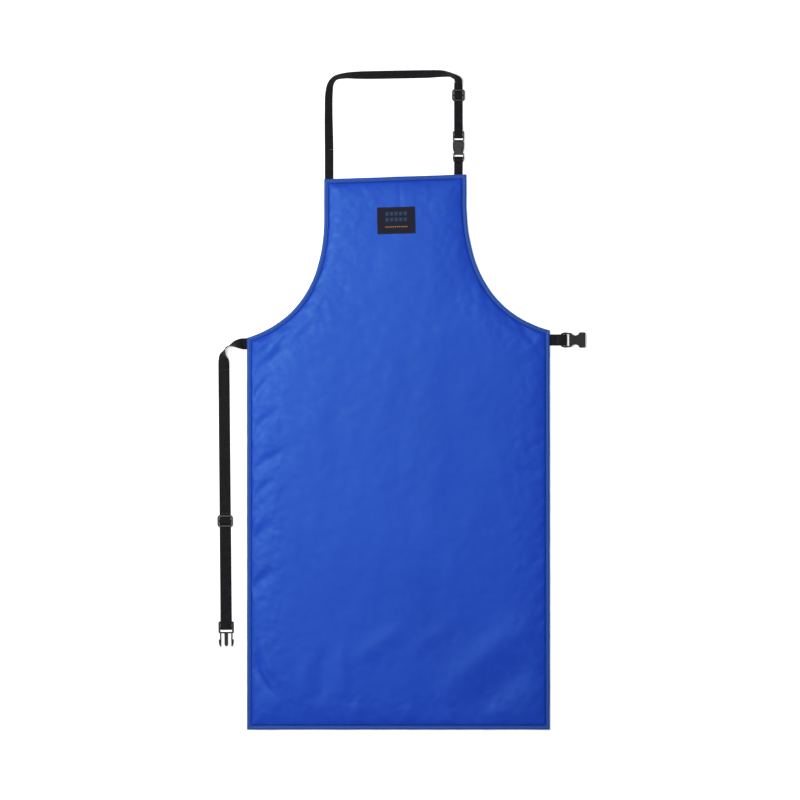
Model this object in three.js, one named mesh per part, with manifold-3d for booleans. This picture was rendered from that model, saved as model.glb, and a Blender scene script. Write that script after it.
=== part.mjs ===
// A padded bib apron with an adjustable neck strap and waist strap, each closed by a side-release buckle.
// It lies flat with its front face up: +Y runs up the apron, +X to the right of it, +Z away from it.
// The origin is on the back face, at the waist line and the middle of the body.
import * as THREE from 'three';
import { mergeVertices } from 'three/addons/utils/BufferGeometryUtils.js';
import Module from 'manifold-3d';

const wasm = await Module();
wasm.setup();

// ---- Driving dimensions, in millimetres and degrees ----

const gap = 0.3; // left between pieces that touch

// Outline of the body
const apron_length = 1219;
const bib_height = 360; // from the waist line up to the top edge
const body_width = 668;
const bib_width = 314;
const side_top = 13; // where the sides end, above the waist line
const armhole_top = 290; // where the bib's straight edges turn into the armholes
const armhole_drop = 140; // how long the curve keeps to the bib's edge
const armhole_reach = 125; // how far it runs in from the side, nearly level
const armhole_steps = 10;
const bib_lean = -7; // the laid bib sits this far to one side of the body
const edge_tilt = 0.035; // slope of the laid top edge; it fades out down to the hem

// Layers of the body
const shell = 1.2; // thickness of the front and back fabric
const binding_cloth = 1;
const binding_width = 9;
const joggle = 2; // length over which a panel steps out from inside the binding
const padding_start = 3.2; // from the binding's inner edge to the padding's edge
// Height of the padded front above its bound edge, at distances in from the binding
const crown = [[joggle, 1.4], [8, 3.4], [22, 5.4]];

// Webbing
const webbing_thickness = 1.4;
const neck_webbing_width = 19;
const waist_webbing_width = 25;
const anchor_length = 50; // sewn down behind the body
const fold_reach = 1.5; // from the body's edge out to the line a strap folds on

// Label
const label_width = 84;
const label_height = 59;
const label_thickness = 0.8;
const label_centre = [-5, 263];
const label_turn = 1.5;

// Places of the straps' pieces
const neck_left_x = -153;
const neck_right_x = 132;
const neck_tab_length = 28; // from the top edge to the buckle
const tab_sewn = 10; // from a tab's start to the end of its back layer
const neck_layers_length = 66; // doubled webbing, from the glide to the buckle
const waist_y = -8.4;
const waist_bend = [-378, -15]; // where the waist strap stands on edge and turns down
const waist_strap_turn = 0.5; // how far the laid strap is off straight down
const waist_strap_offset = -7.4; // from the bend out to the hanging strap's middle
const waist_glide_drop = 384; // from the bend down to the glide
const waist_layers_length = 208; // doubled webbing, from the glide to the buckle
const waist_tab_length = 24;

// Glides
const glide_length = 26.5;
const glide_bar = 4;
const glide_height = 3.2;
const glide_centre_bar_height = 1.6;
const glide_rail = 4.2;

// Side-release buckles; lengths run along the webbing
const waist_buckle = {
  webbing: waist_webbing_width,
  width: 34,
  height: 10,
  scale: 1,
  wall: 2.8,
  arm: 2.8,
  hook: 2.7,
  rib: 8,
};
const neck_buckle = {
  webbing: neck_webbing_width,
  width: 25.4,
  height: 8.6,
  scale: 0.84,
  wall: 2.4,
  arm: 2.2,
  hook: 2.4,
  rib: 4.4,
};
const slot_clearance = 0.5; // beside the webbing, in every slot
const bar_height = 2.2;
const outer_bar = 4;
const plug_slot = 9; // slots and bars of the plug, times the buckle's scale
const plug_wrap_bar = 4;
const plug_open_slot = 6;
const plug_shoulder = 3;
const socket_slot = 4.5;
const socket_wrap_bar = 3.5;
const socket_open_slot = 6;
const socket_body = 36;
const socket_end_wall = 2;
const socket_flange = 13.2; // from the mouth to the side windows
const socket_window = 17.5;
const socket_waist = 0.58; // width between the windows, as a share of the whole
const socket_wall = 2; // above and below the cavity
const prong_length = 30;
const prong_seat = 1; // how deep a prong's root sits in the shoulder

// ---- Levels worked out from them ----

const binding_height = 2 * (binding_cloth + shell) + 3 * gap;
const surface = -(webbing_thickness + gap); // what the straps lie on
const back_step = binding_cloth + gap; // the back panel's height inside the binding
const front_step = back_step + shell + gap;
const one_layer = webbing_thickness / 2; // middle of a strap above what it lies on
const two_layers = one_layer + webbing_thickness + gap;

// ---- Materials ----

const blue_shell = new THREE.MeshStandardMaterial({ color: 0x2d58c0, roughness: 0.75, metalness: 0 });
const blue_binding = new THREE.MeshStandardMaterial({ color: 0x3a66c8, roughness: 0.75, metalness: 0 });
const lining = new THREE.MeshStandardMaterial({ color: 0x27489c, roughness: 0.8, metalness: 0 });
const batting = new THREE.MeshStandardMaterial({ color: 0xe6e4dc, roughness: 0.95, metalness: 0 });
const black_webbing = new THREE.MeshStandardMaterial({ color: 0x232326, roughness: 0.85, metalness: 0 });
const black_plastic = new THREE.MeshStandardMaterial({ color: 0x1a1a1c, roughness: 0.45, metalness: 0 });
const label_cloth = new THREE.MeshStandardMaterial({ color: 0x1d1d22, roughness: 0.9, metalness: 0 });

// ---- Building solids ----

const apron = new THREE.Group();

function add(name, geometry, material, parent = apron) {
  const mesh = new THREE.Mesh(geometry, material);
  mesh.name = name;
  parent.add(mesh);
  return mesh;
}

/** A group standing at x, y, z and turned about +Z by so many degrees. */
function place(x, y, z, turn, parent = apron) {
  const group = new THREE.Group();
  group.position.set(x, y, z);
  group.rotation.z = THREE.MathUtils.degToRad(turn);
  parent.add(group);
  return group;
}

/** Six times the volume inside a list of triangles, negative where they face in. */
function signedVolume(points, triangles) {
  let sum = 0;
  for (const [a, b, c] of triangles) {
    sum += points[a].dot(new THREE.Vector3().crossVectors(points[b], points[c]));
  }
  return sum;
}

/** A closed body through rings of equal length; capped by triangles of the first and last ring. */
function loft(rings, cap_first, cap_last) {
  const size = rings[0].length;
  const points = rings.flat();
  const triangles = [];
  for (let r = 0; r + 1 < rings.length; r++) {
    for (let i = 0; i < size; i++) {
      const a = r * size + i;
      const b = r * size + ((i + 1) % size);
      triangles.push([a, b, b + size], [a, b + size, a + size]);
    }
  }
  const last = (rings.length - 1) * size;
  for (const [a, b, c] of cap_first) {
    triangles.push([c, b, a]);
  }
  for (const [a, b, c] of cap_last) {
    triangles.push([last + a, last + b, last + c]);
  }
  const outward = signedVolume(points, triangles) > 0;
  const geometry = new THREE.BufferGeometry();
  geometry.setFromPoints(points);
  geometry.setIndex(triangles.flatMap(([a, b, c]) => (outward ? [a, b, c] : [a, c, b])));
  return geometry;
}

/** Anticlockwise triangles that fill a ring of 2-D points. */
function fill(ring) {
  return THREE.ShapeUtils.triangulateShape(ring, []);
}

/** The direction that an anticlockwise ring's corners move in, per unit of inset. */
function mitres(ring, closed = true) {
  const side = (from, to) => {
    const along = new THREE.Vector2().subVectors(to, from).normalize();
    return new THREE.Vector2(-along.y, along.x);
  };
  return ring.map((corner, i) => {
    const before = ring[(i + ring.length - 1) % ring.length];
    const after = ring[(i + 1) % ring.length];
    if (!closed && i === 0) {
      return side(corner, after);
    }
    if (!closed && i === ring.length - 1) {
      return side(before, corner);
    }
    const a = side(before, corner);
    const b = side(corner, after);
    return a.clone().add(b).divideScalar(1 + a.dot(b));
  });
}

/** A plate of the given outline, from one height to another. */
function plate(shape, bottom, top) {
  const depth = top - bottom;
  const geometry = new THREE.ExtrudeGeometry(shape, { depth, bevelEnabled: false, curveSegments: 6 });
  geometry.translate(0, 0, bottom);
  return geometry;
}

/** A plate with its top and bottom edges rounded off. */
function softPlate(shape, height, edge) {
  const geometry = new THREE.ExtrudeGeometry(shape, {
    depth: height - 2 * edge,
    bevelThickness: edge,
    bevelSize: edge,
    bevelOffset: -edge,
    bevelSegments: 2,
    curveSegments: 6,
  });
  geometry.translate(0, 0, edge - height / 2);
  return geometry;
}

function block(x0, x1, y0, y1, z0, z1) {
  const geometry = new THREE.BoxGeometry(x1 - x0, y1 - y0, z1 - z0);
  geometry.translate((x0 + x1) / 2, (y0 + y1) / 2, (z0 + z1) / 2);
  return geometry;
}

/** A rectangle from x0 to x1, centred on y = 0, with rounded corners. */
function roundedRectangle(x0, x1, width, radius) {
  const shape = new THREE.Shape();
  const y = width / 2;
  shape.absarc(x1 - radius, y - radius, radius, 0, Math.PI / 2);
  shape.absarc(x0 + radius, y - radius, radius, Math.PI / 2, Math.PI);
  shape.absarc(x0 + radius, radius - y, radius, Math.PI, Math.PI * 1.5);
  shape.absarc(x1 - radius, radius - y, radius, Math.PI * 1.5, Math.PI * 2);
  shape.closePath();
  return shape;
}

function toSolid(geometry) {
  const bare = geometry.clone();
  bare.deleteAttribute('normal');
  bare.deleteAttribute('uv');
  const merged = mergeVertices(bare, 1e-4);
  return new wasm.Manifold(new wasm.Mesh({
    numProp: 3,
    vertProperties: Float32Array.from(merged.attributes.position.array),
    triVerts: Uint32Array.from(merged.index.array),
  }));
}

function toGeometry(solid) {
  const mesh = solid.getMesh();
  const geometry = new THREE.BufferGeometry();
  geometry.setAttribute('position', new THREE.BufferAttribute(mesh.vertProperties, 3));
  geometry.setIndex(new THREE.BufferAttribute(mesh.triVerts, 1));
  return geometry;
}

/** The first geometry less those in cuts, joined to those in joins. */
function carve(base, cuts, joins = []) {
  let solid = toSolid(base);
  for (const cut of cuts) {
    solid = solid.subtract(toSolid(cut));
  }
  for (const join of joins) {
    solid = solid.add(toSolid(join));
  }
  return toGeometry(solid);
}

// ---- The body's outline ----

/** Where a point of the flat pattern lies once the apron is laid down. */
function laid(x, y) {
  const up_the_bib = THREE.MathUtils.clamp(y / armhole_top, 0, 1);
  const up_the_body = (y - bib_height + apron_length) / apron_length;
  return new THREE.Vector2(x + bib_lean * up_the_bib, y + edge_tilt * x * up_the_body);
}

/** The armhole of one side (-1 or 1), from the bib's corner down to the body's side. */
function armhole(side) {
  const curve = new THREE.CubicBezierCurve(
    new THREE.Vector2(bib_width / 2, armhole_top),
    new THREE.Vector2(bib_width / 2, armhole_top - armhole_drop),
    new THREE.Vector2(body_width / 2 - armhole_reach, side_top + 37),
    new THREE.Vector2(body_width / 2, side_top),
  );
  const pattern = [new THREE.Vector2(bib_width / 2, bib_height), ...curve.getPoints(armhole_steps)];
  return pattern.map((point) => laid(side * point.x, point.y));
}

const hem_y = bib_height - apron_length;
const left_armhole = armhole(-1);
const right_armhole = armhole(1).reverse();
const hem = [laid(-body_width / 2, hem_y), laid(body_width / 2, hem_y)];
// Edges in anticlockwise order; each ends where the next begins.
const edges = {
  top_binding: [right_armhole.at(-1), left_armhole[0]],
  left_armhole_binding: left_armhole,
  left_side_binding: [left_armhole.at(-1), hem[0]],
  hem_binding: hem,
  right_side_binding: [hem[1], right_armhole[0]],
  right_armhole_binding: right_armhole,
};
const outline = Object.values(edges).flatMap((edge) => edge.slice(0, -1));
const outline_mitres = mitres(outline);

/** The outline moved inward, at a height. */
function insetRing(inset, z) {
  return outline.map((corner, i) => {
    const moved = corner.clone().addScaledVector(outline_mitres[i], inset);
    return new THREE.Vector3(moved.x, moved.y, z);
  });
}

/** A closed body from insets and heights, listed from its lower face out to its edge and back. */
function panel(profile) {
  const rings = profile.map(([inset, z]) => insetRing(inset, z));
  return loft(rings, fill(rings[0]), fill(rings.at(-1)));
}

// ---- Layers of the body ----

function backPanel() {
  const edge = binding_cloth + gap;
  const free = binding_width + gap;
  return panel([
    [free + joggle, 0],
    [free, back_step],
    [edge, back_step],
    [edge, back_step + shell],
    [free + gap, back_step + shell],
    [free + joggle + gap, shell],
  ]);
}

/** Heights of the front panel's outer face above its bound edge, at insets from the outline. */
const crown_rings = crown.map(([from_binding, rise]) => [
  binding_width + gap + from_binding,
  front_step + shell + rise,
]);

function frontPanel() {
  const edge = binding_cloth + gap;
  const free = binding_width + gap;
  const underside = crown_rings.map(([inset, z]) => [inset, z - shell]).reverse();
  return panel([
    ...underside,
    [free, front_step],
    [edge, front_step],
    [edge, front_step + shell],
    [free, front_step + shell],
    ...crown_rings,
  ]);
}

function paddingLayer() {
  const edge = binding_width + padding_start;
  const floor = shell + gap;
  const ceiling = crown_rings.slice(1).map(([inset, z]) => [inset, z - shell - gap]);
  return panel([
    [edge + gap, floor],
    [edge, floor],
    [edge, front_step + crown[0][1] - gap],
    ...ceiling,
  ]);
}

/** A folded strip that wraps one edge of the body, mitred into its neighbours. */
function bindingStrip(edge) {
  const top = binding_height;
  const section = [
    [0, 0],
    [binding_width, 0],
    [binding_width, binding_cloth],
    [binding_cloth, binding_cloth],
    [binding_cloth, top - binding_cloth],
    [binding_width, top - binding_cloth],
    [binding_width, top],
    [0, top],
  ].map(([inset, z]) => new THREE.Vector2(inset, z));
  const start = outline.indexOf(edge[0]);
  const last = edge.length - 1;
  const rings = edge.map((corner, i) => {
    const mitre = outline_mitres[(start + i) % outline.length];
    const neighbour = i === 0 ? edge[1] : edge[last - 1];
    const back_off = i === 0 || i === last ? gap : 0;
    const shift = new THREE.Vector2().subVectors(neighbour, corner).setLength(back_off);
    return section.map(({ x: inset, y: z }) => {
      const moved = corner.clone().add(shift).addScaledVector(mitre, inset);
      return new THREE.Vector3(moved.x, moved.y, z);
    });
  });
  return loft(rings, fill(section), fill(section));
}

function labelPatch() {
  return plate(roundedRectangle(-label_width / 2, label_width / 2, label_height, 1.5), 0, label_thickness);
}

// ---- Webbing ----

/** Webbing of one width along a path of [distance, height] points, bent only up and down. */
function webbingRun(path, width) {
  const line = path.map(([along, z]) => new THREE.Vector2(along, z));
  const sides = mitres(line, false);
  const offset = (i, by) => line[i].clone().addScaledVector(sides[i], by * webbing_thickness / 2);
  const upper = line.map((_, i) => offset(i, 1));
  const lower = line.map((_, i) => offset(i, -1));
  const shape = new THREE.Shape([...lower, ...upper.reverse()]);
  const geometry = new THREE.ExtrudeGeometry(shape, { depth: width, bevelEnabled: false });
  geometry.translate(0, 0, -width / 2);
  geometry.rotateX(Math.PI / 2);
  return geometry;
}

/** Webbing laid on the surface through [x, y, roll] stations; at a roll of 90 it stands on edge. */
function webbingRoute(stations, width, steps) {
  const curve = new THREE.CatmullRomCurve3(
    stations.map(([x, y, roll]) => new THREE.Vector3(x, y, roll)),
    false,
    'centripetal',
  );
  const rings = curve.getSpacedPoints(steps).map(({ x, y, z: roll }, i) => {
    const along = curve.getTangentAt(i / steps).setZ(0).normalize();
    const level = new THREE.Vector3(-along.y, along.x, 0);
    const angle = THREE.MathUtils.degToRad(roll);
    const across = level.clone().multiplyScalar(Math.cos(angle)).setZ(Math.sin(angle));
    const normal = level.clone().multiplyScalar(-Math.sin(angle)).setZ(Math.cos(angle));
    const rise = width * Math.abs(across.z) / 2 + webbing_thickness * Math.abs(normal.z) / 2;
    const middle = new THREE.Vector3(x, y, surface + rise);
    const corner = (u, v) => middle.clone()
      .addScaledVector(across, u * width / 2)
      .addScaledVector(normal, v * webbing_thickness / 2);
    return [corner(-1, -1), corner(1, -1), corner(1, 1), corner(-1, 1)];
  });
  const cap = [[0, 1, 2], [0, 2, 3]];
  return loft(rings, cap, cap);
}

// ---- Glides: a frame with two slots and a bar between them ----

const glide_frame_bottom = 2 * webbing_thickness + 2 * gap;
const glide_half = glide_length / 2;
const glide_slot_end = glide_half - glide_bar;
const glide_loop_top = glide_frame_bottom + glide_centre_bar_height + gap + webbing_thickness / 2;
const glide_strap_top = glide_loop_top + webbing_thickness + gap;
const glide_run = glide_half + 4; // from the glide's middle to the end of the webbing that moves with it

function glideFrame(webbing) {
  const opening = webbing + 2 * slot_clearance;
  const width = opening + 2 * glide_rail;
  const z0 = glide_frame_bottom;
  const frame = softPlate(roundedRectangle(-glide_half, glide_half, width, 6), glide_height, 0.8);
  frame.translate(0, 0, z0 + glide_height / 2);
  const side = opening / 2;
  const bar_half = glide_bar / 2;
  const hole = block(-glide_slot_end, glide_slot_end, -side, side, z0 - 1, z0 + glide_height + 1);
  const bar = block(-bar_half, bar_half, -side - 1, side + 1, z0, z0 + glide_centre_bar_height);
  return carve(frame, [hole], [bar]);
}

/** The strap's own pass through the glide: up one slot, over the bar and down the other. */
function strapOverGlide(webbing) {
  return webbingRun([
    [-glide_run, one_layer],
    [-glide_slot_end + 1, one_layer],
    [-glide_slot_end + 3, glide_strap_top - 1],
    [-glide_slot_end + 4.6, glide_strap_top],
    [glide_slot_end - 4.6, glide_strap_top],
    [glide_slot_end - 3, glide_strap_top - 1],
    [glide_slot_end - 1.2, two_layers],
    [glide_run, two_layers],
  ], webbing);
}

/** The strap's end, back from the buckle, turned round the glide's middle bar. */
function endLoop(webbing) {
  const bar_half = glide_bar / 2;
  const turn = bar_half + gap + webbing_thickness / 2;
  const under = glide_frame_bottom - gap - webbing_thickness / 2;
  return webbingRun([
    [glide_run, one_layer],
    [bar_half + 4, one_layer],
    [bar_half + 1, under],
    [-turn + 0.7, under],
    [-turn, under + 0.7],
    [-turn, glide_loop_top - 0.7],
    [-turn + 0.7, glide_loop_top],
    [bar_half, glide_loop_top],
  ], webbing);
}

// ---- Side-release buckles ----

const wrap_drop = bar_height / 2 + gap + webbing_thickness / 2; // webbing's middle beside a bar
const wrap_lead = 6; // webbing that moves with the buckle, before its outer bar
const plug_height = 2 * wrap_drop + webbing_thickness;

/** Distances along a plug, from its outer bar to its shoulder's front face. */
function plugStations({ scale }) {
  const slot = outer_bar * scale;
  const bar = slot + plug_slot * scale;
  const open = bar + plug_wrap_bar * scale;
  const shoulder = open + plug_open_slot * scale;
  return { slot, bar, open, shoulder, front: shoulder + plug_shoulder * scale };
}

/** Distances along a socket, from its outer bar to its mouth. */
function socketStations({ scale }) {
  const slot = outer_bar * scale;
  const bar = slot + socket_slot * scale;
  const open = bar + socket_wrap_bar * scale;
  const body = open + socket_open_slot * scale;
  const mouth = body + socket_body * scale;
  const window_end = mouth - socket_flange * scale;
  return { slot, bar, open, body, mouth, window_end, window_start: window_end - socket_window * scale };
}

const cavityHalf = ({ width, wall }) => width / 2 - wall;
const armOuter = (size) => cavityHalf(size) - gap;
const cavityHeight = ({ height }) => height - 2 * socket_wall;

/** A thin bar across an opening, for webbing to turn round; its ends run into the rails. */
function crossBar(from, to, opening) {
  const side = opening / 2 + 1;
  return block(from, to, -side, side, -bar_height / 2, bar_height / 2);
}

/** Outline of the plug's guide rib, from the shoulder out to a rounded point. */
function ribShape(size, from) {
  const half = size.rib / 2;
  const end = from + prong_length * size.scale;
  const shape = new THREE.Shape();
  shape.moveTo(from, -half);
  shape.lineTo(end - half, -half);
  shape.quadraticCurveTo(end, -half * 0.6, end, 0);
  shape.quadraticCurveTo(end, half * 0.6, end - half, half);
  shape.lineTo(from, half);
  shape.closePath();
  return shape;
}

/** The plug without its prongs: rails, two bars, shoulder with a seat for each prong, and guide rib. */
function plugFrame(size) {
  const at = plugStations(size);
  const opening = size.webbing + 2 * slot_clearance;
  const rails = softPlate(roundedRectangle(0, at.front, size.width, 3 * size.scale), plug_height, 0.7);
  const hole = block(-1, at.shoulder, -opening / 2, opening / 2, -plug_height, plug_height);
  const bars = [crossBar(0.4, at.slot, opening), crossBar(at.bar, at.open, opening)];
  const rib_half = cavityHeight(size) / 2 - 1;
  const rib = plate(ribShape(size, at.front - 1), -rib_half, rib_half);
  const outer = armOuter(size) + gap;
  const inner = outer - size.arm - 2 * gap;
  const seat = at.front - prong_seat;
  const seats = [[inner, outer], [-outer, -inner]].map(
    ([from, to]) => block(seat, at.front + 1, from, to, -plug_height, plug_height),
  );
  return carve(rails, [hole, ...seats], [...bars, rib]);
}

/** The prong on the plug's +Y side, with its root seated in the shoulder that ends at x = 0. */
function prong(size) {
  const outer = armOuter(size);
  const inner = outer - size.arm;
  const hook = (socket_flange + 0.5) * size.scale;
  const end = prong_length * size.scale;
  const shape = new THREE.Shape();
  shape.moveTo(gap - prong_seat, inner);
  shape.lineTo(0, inner);
  shape.lineTo(hook, inner - 0.3);
  shape.lineTo(end - 2, inner);
  shape.quadraticCurveTo(end, inner, end, inner + 1);
  shape.quadraticCurveTo(end - 3, outer + size.hook, hook + 3, outer + size.hook);
  shape.lineTo(hook, outer + size.hook);
  shape.lineTo(hook, outer);
  shape.lineTo(gap - prong_seat, outer);
  shape.closePath();
  const half = cavityHeight(size) / 2 - gap;
  return plate(shape, -half, half);
}

/** Webbing through a buckle half: over the outer bar, round the wrap bar and back beneath. */
function wrapPath(bar_end, start, end) {
  const turn = bar_end + gap + webbing_thickness / 2;
  return [
    [start, wrap_drop],
    [turn - 0.7, wrap_drop],
    [turn, wrap_drop - 0.7],
    [turn, 0.7 - wrap_drop],
    [turn - 0.7, -wrap_drop],
    [end, -wrap_drop],
  ];
}

/** Outline of the socket: a wide bar end, a waist between the side windows and a wide mouth. */
function socketShape(size) {
  const at = socketStations(size);
  const half = size.width / 2;
  const waist = half * socket_waist;
  const middle = (at.window_start + at.window_end) / 2;
  const side = [
    [2, half - 1.5],
    [at.bar, half],
    [at.window_start - 1, half * 0.9],
    [at.window_start + 3, waist + 1.5],
    [middle, waist],
    [at.window_end - 3, waist + 2],
    [at.window_end, half],
    [at.mouth - 2, half],
    [at.mouth, half - 2],
  ].map(([x, y]) => new THREE.Vector2(x, y));
  const corners = [new THREE.Vector2(0, half - 3.5), ...side];
  const lower = corners.map(({ x, y }) => new THREE.Vector2(x, -y));
  return new THREE.Shape([...lower, ...corners.reverse()]);
}

/** The hollow half of the buckle, open at its mouth and at both sides. */
function socket(size) {
  const at = socketStations(size);
  const opening = size.webbing + 2 * slot_clearance;
  const room = cavityHeight(size) / 2;
  const shell_body = softPlate(socketShape(size), size.height, 0.9);
  const inside = cavityHalf(size);
  const cavity = block(at.body + socket_end_wall * size.scale, at.mouth + 1, -inside, inside, -room, room);
  const windows = block(at.window_start, at.window_end, -size.width, size.width, -room, room);
  const hole = block(-1, at.body, -opening / 2, opening / 2, -size.height, size.height);
  const bars = [crossBar(0.4, at.slot, opening), crossBar(at.bar, at.open, opening)];
  return carve(shell_body, [cavity, windows, hole], bars);
}

/** Adds a plug, its prongs and the webbing round it, pointing along the group's +X. */
function addPlug(prefix, size, group) {
  const at = plugStations(size);
  add(`${prefix}_plug`, plugFrame(size), black_plastic, group);
  const wrap = webbingRun(wrapPath(at.open, -wrap_lead, -wrap_lead), size.webbing);
  add(`${prefix}_webbing_round_plug`, wrap, black_webbing, group);
  const left = prong(size).rotateX(Math.PI).translate(at.front, 0, 0);
  const right = prong(size).translate(at.front, 0, 0);
  add(`${prefix}_prong_left`, left, black_plastic, group);
  add(`${prefix}_prong_right`, right, black_plastic, group);
}

/** Adds a glide and the webbing in it, the strap running along the group's +X. */
function addGlide(prefix, webbing, group) {
  add(`${prefix}_glide`, glideFrame(webbing), black_plastic, group);
  add(`${prefix}_webbing_over_glide`, strapOverGlide(webbing), black_webbing, group);
  add(`${prefix}_webbing_end_loop`, endLoop(webbing), black_webbing, group);
}

/** Adds the two layers from a glide to a plug that stands at a height above the surface. */
function addLayers(prefix, webbing, length, plug_z, group) {
  const start = glide_run + gap;
  const end = glide_half + length - wrap_lead - gap;
  const slope = end - 12;
  const front = [[start, two_layers], [slope, two_layers], [end, plug_z + wrap_drop]];
  const back = [[start, one_layer], [slope, one_layer], [end, plug_z - wrap_drop]];
  add(`${prefix}_webbing_front_layer`, webbingRun(front, webbing), black_webbing, group);
  add(`${prefix}_webbing_back_layer`, webbingRun(back, webbing), black_webbing, group);
}

/** Adds a socket and its doubled tab, sewn on at x = 0 and running along the group's +X. */
function addTab(prefix, size, length, group) {
  const at = socketStations(size);
  const middle = size.height / 2;
  const tab_start = fold_reach + gap / 2;
  const wrapped = wrapPath(at.open, 0, 0).map(([x, z]) => [x + length, z + middle]);
  const tab = webbingRun([
    [tab_start, one_layer],
    [tab_start + 1.5, one_layer],
    [tab_start + 6.5, two_layers + 0.2],
    [length - 4, two_layers + 1],
    ...wrapped,
    [length - 6, one_layer + gap],
    [tab_start + tab_sewn, one_layer],
  ], size.webbing);
  add(`${prefix}_tab_webbing`, tab, black_webbing, group);
  add(`${prefix}_socket`, socket(size).translate(length, 0, middle), black_plastic, group);
}

/** A strap's sewn end behind the body, the group's +X pointing out over the edge at x = 0. */
function addAnchor(name, webbing, group) {
  const end = fold_reach - gap / 2;
  const side = webbing / 2;
  add(name, block(-anchor_length, end, -side, side, 0, webbing_thickness), black_webbing, group);
}

// ---- The body ----

add('back_panel', backPanel(), lining);
add('padding', paddingLayer(), batting);
add('front_panel', frontPanel(), blue_shell);
for (const [name, edge] of Object.entries(edges)) {
  add(name, bindingStrip(edge), blue_binding);
}
const label_z = crown_rings.at(-1)[1] + gap;
add('label_patch', labelPatch(), label_cloth, place(...label_centre, label_z, label_turn));

// ---- The neck strap ----

const topEdgeAt = (x) => bib_height + edge_tilt * x;
const neck_left_edge = place(neck_left_x, topEdgeAt(neck_left_x), surface, 90);
addAnchor('neck_strap_anchor', neck_webbing_width, neck_left_edge);
const neck_right_edge = place(neck_right_x, topEdgeAt(neck_right_x), surface, 90);
addAnchor('neck_tab_anchor', neck_webbing_width, neck_right_edge);
addTab('neck', neck_buckle, neck_tab_length, neck_right_edge);

const neck_mouth_y = topEdgeAt(neck_right_x) + neck_tab_length + socketStations(neck_buckle).mouth;
const neck_plug_y = neck_mouth_y + gap + plugStations(neck_buckle).front;
const neck_plug_z = neck_buckle.height / 2;
addPlug('neck', neck_buckle, place(neck_right_x, neck_plug_y, surface + neck_plug_z, -90));
const neck_glide_y = neck_plug_y + neck_layers_length + glide_half;
const neck_glide_place = place(neck_right_x, neck_glide_y, surface, -90);
addGlide('neck', neck_webbing_width, neck_glide_place);
addLayers('neck', neck_webbing_width, neck_layers_length, neck_plug_z, neck_glide_place);

const neck_leg_end = neck_glide_y + glide_run + 2 * gap;
const neck_leg_top = neck_leg_end + 10;
const neck_route = [
  [neck_left_x, topEdgeAt(neck_left_x) + fold_reach + gap / 2, 0],
  [neck_left_x, 420, 5],
  [neck_left_x - 1, 500, 25],
  [neck_left_x, 545, 32],
  [neck_left_x + 5, 567, 52],
  [neck_left_x + 15, 577.5, 62],
  [neck_left_x + 35, 582, 55],
  [neck_left_x + 63, 583.3, 38],
  [neck_left_x + 90, 583.8, 30],
  [neck_right_x - 70, 586, 31],
  [neck_right_x - 36, 586.5, 47],
  [neck_right_x - 17, 583.5, 66],
  [neck_right_x - 6, 578.5, 58],
  [neck_right_x, neck_leg_top + 4, 30],
  [neck_right_x, neck_leg_top, 22],
];
add('neck_webbing', webbingRoute(neck_route, neck_webbing_width, 72), black_webbing);
const neck_leg_route = [
  [neck_right_x, neck_leg_top - 2 * gap, 21],
  [neck_right_x, neck_leg_end + 4, 8],
  [neck_right_x, neck_leg_end, 0],
];
add('neck_webbing_leg', webbingRoute(neck_leg_route, neck_webbing_width, 5), black_webbing);

// ---- The waist strap, on the left, and its tab, on the right ----

const left_edge_x = -body_width / 2;
const waist_edge = place(left_edge_x, waist_y, surface, 180);
addAnchor('waist_strap_anchor', waist_webbing_width, waist_edge);

const [bend_x, bend_y] = waist_bend;
const waist_root_route = [
  [left_edge_x - fold_reach - gap, waist_y, 0],
  [left_edge_x - 6, waist_y, 6],
  [left_edge_x - 16, waist_y - 0.5, 30],
  [bend_x + 14, bend_y + 4.5, 65],
  [bend_x + 4, bend_y + 2, 88],
];
add('waist_webbing_root', webbingRoute(waist_root_route, waist_webbing_width, 14), black_webbing);
const hanging = place(bend_x, bend_y, 0, waist_strap_turn);
const waist_bend_route = [
  [4 - 3 * gap, 2 - gap, 89],
  [-2, -2, 90],
  [-6, -12, 70],
  [waist_strap_offset, -30, 20],
  [waist_strap_offset, -44, 3],
  [waist_strap_offset, -50, 0],
];
add('waist_webbing_bend', webbingRoute(waist_bend_route, waist_webbing_width, 18), black_webbing, hanging);
const waist_glide_place = place(waist_strap_offset, -waist_glide_drop, surface, -90, hanging);
addGlide('waist', waist_webbing_width, waist_glide_place);
const straight_start = 50 + 2 * gap - waist_glide_drop;
const straight = [[straight_start, one_layer], [-glide_run - gap, one_layer]];
add('waist_webbing', webbingRun(straight, waist_webbing_width), black_webbing, waist_glide_place);
const waist_plug_z = plug_height / 2;
addLayers('waist', waist_webbing_width, waist_layers_length, waist_plug_z, waist_glide_place);
const waist_plug_place = place(glide_half + waist_layers_length, 0, waist_plug_z, 0, waist_glide_place);
addPlug('waist', waist_buckle, waist_plug_place);

const waist_tab_edge = place(body_width / 2, 0, surface, 0);
addAnchor('waist_tab_anchor', waist_webbing_width, waist_tab_edge);
addTab('waist', waist_buckle, waist_tab_length, waist_tab_edge);

export default apron;
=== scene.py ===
"""A padded bib apron lying on its back, with webbing neck and waist straps on side-release buckles.

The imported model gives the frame: +Y runs up the apron, +X to its right, +Z out of its front face,
with the origin on the back face at the waist line. Lengths below are in millimetres; mm turns them
into Blender's metres.
"""
import math
from collections import namedtuple

import bpy
import numpy as np
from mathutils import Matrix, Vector, noise
from mathutils.bvhtree import BVHTree
from mathutils.geometry import delaunay_2d_cdt


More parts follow.
